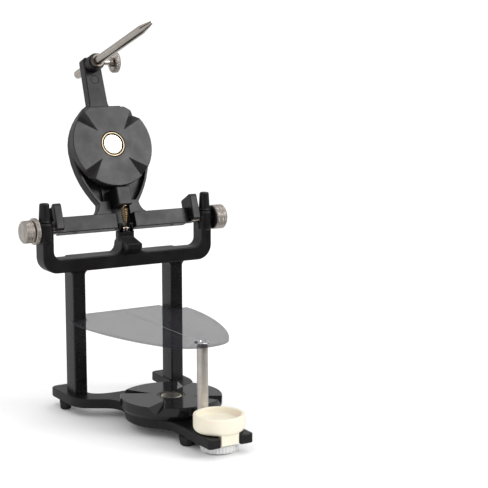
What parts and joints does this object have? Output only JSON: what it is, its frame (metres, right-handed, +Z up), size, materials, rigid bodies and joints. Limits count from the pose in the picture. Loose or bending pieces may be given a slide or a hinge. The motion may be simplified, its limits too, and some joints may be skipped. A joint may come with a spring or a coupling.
{
  "type": "dental articulator",
  "caption": "Magnetic-plate dental articulator: two-post stand, hinged upper member, incisal pin, sliding incisal table and an occlusal plane plate.",
  "frame": {"origin": "on the table under the middle of the open articulator's bounding box", "axes": "+Z up, -Y to the front where the incisal table is, +X to the side of the thumbscrew, parallel to the condylar axis"},
  "size_m": [0.138, 0.1962, 0.239],
  "materials": {
    "black_metal": "satin black baked enamel",
    "post_black": "satin black baked enamel",
    "disc_black": "polished black anodised",
    "nickel": "warm nickel plate",
    "bright_chrome": "polished chrome",
    "brass": "bright brass",
    "magnet": "plated magnet face, mirror bright",
    "ivory_plastic": "moulded ivory plastic",
    "clear_plastic": "clear moulded plastic",
    "smoked_plate": "smoked transparent acrylic",
    "rubber": "black rubber"
  },
  "bodies": {
    "stand": {"base_casting": "black_metal", "front_left_foot": "rubber", "front_right_foot": "rubber", "rear_left_foot": "rubber", "rear_right_foot": "rubber", "left_post": "post_black", "right_post": "post_black", "left_post_screw": "nickel", "right_post_screw": "nickel", "lower_mounting_disc": "disc_black", "lower_magnet_ring": "brass", "lower_magnet": "magnet", "lower_disc_screw": "nickel", "yoke_casting": "black_metal", "spring_anchor_pin": "nickel", "left_condyle_shaft": "nickel", "right_condyle_shaft": "nickel"},
    "upper_member": {"upper_frame": "black_metal", "spring_block": "black_metal", "spring_eye_screw": "brass", "arm_plug": "black_metal", "left_condyle_cheek": "black_metal", "right_condyle_cheek": "black_metal", "left_cheek_screw": "nickel", "right_cheek_screw": "nickel", "left_bar_grub_screw": "nickel", "right_bar_grub_screw": "nickel", "upper_mounting_disc": "disc_black", "upper_magnet_ring": "brass", "upper_magnet": "magnet", "upper_disc_screw": "nickel", "pin_hub": "black_metal", "pin_collar": "nickel"},
    "pin": {"incisal_pin": "nickel"},
    "thumbscrew": {"thumbscrew_shank": "nickel", "thumbscrew_wheel": "nickel"},
    "right_knob": {"right_flange": "black_metal", "right_condyle_knob": "nickel"},
    "left_knob": {"left_condyle_knob": "nickel"},
    "left_ring": {"left_lock_ring": "nickel"},
    "left_lock": {"left_lock_pin": "black_metal"},
    "right_lock": {"right_lock_pin": "black_metal"},
    "spring": {"retaining_spring": "brass"},
    "table": {"incisal_table": "ivory_plastic", "table_stud": "nickel"},
    "nut": {"table_nut": "clear_plastic"},
    "occlusal_plane": {"occlusal_plate": "smoked_plate", "occlusal_post": "nickel", "plate_screw": "bright_chrome"}
  },
  "joints": [
    {"name": "upper_member_close", "type": "hinge", "parent": "stand", "child": "upper_member", "pos_m": [0.00065, 0.0279, 0.115], "axis": [1, 0, 0], "range_deg": [0, 110]},
    {"name": "spring_swing", "type": "hinge", "parent": "stand", "child": "spring", "pos_m": [0.00065, 0.0305, 0.112], "axis": [1, 0, 0], "range_deg": [0, 85.2]},
    {"name": "incisal_pin_slide", "type": "slide", "parent": "upper_member", "child": "pin", "axis": [0, -0.9538, 0.3004], "range_m": [-0.02, 0.0165]},
    {"name": "thumbscrew_turn", "type": "hinge", "parent": "upper_member", "child": "thumbscrew", "pos_m": [0.01455, 0.0704, 0.21337], "axis": [1, 0, 0], "continuous": true},
    {"name": "right_knob_turn", "type": "hinge", "parent": "stand", "child": "right_knob", "pos_m": [0.06665, 0.0279, 0.115], "axis": [1, 0, 0], "continuous": true},
    {"name": "left_knob_turn", "type": "hinge", "parent": "stand", "child": "left_knob", "pos_m": [-0.06535, 0.0279, 0.115], "axis": [1, 0, 0], "continuous": true},
    {"name": "left_ring_turn", "type": "hinge", "parent": "stand", "child": "left_ring", "pos_m": [-0.06095, 0.0279, 0.115], "axis": [1, 0, 0], "continuous": true},
    {"name": "left_lock_turn", "type": "hinge", "parent": "stand", "child": "left_lock", "pos_m": [-0.05435, 0.0279, 0.12], "axis": [0, 0, 1], "range_deg": [0, 90]},
    {"name": "right_lock_turn", "type": "hinge", "parent": "stand", "child": "right_lock", "pos_m": [0.05565, 0.0279, 0.12], "axis": [0, 0, 1], "range_deg": [0, 90]},
    {"name": "table_slide", "type": "slide", "parent": "stand", "child": "table", "axis": [0, -1, 0], "range_m": [0, 0.012]},
    {"name": "nut_turn", "type": "hinge", "parent": "table", "child": "nut", "pos_m": [0.00065, -0.0835, 0.003], "axis": [0, 0, 1], "continuous": true},
    {"name": "occlusal_plane_lift", "type": "slide", "parent": "stand", "child": "occlusal_plane", "axis": [0, 0, 1], "range_m": [0, 0.02]}
  ],
  "couplings": [
    {"joint": "spring_swing", "follows": "upper_member_close", "ratio": 0.76549}
  ]
}
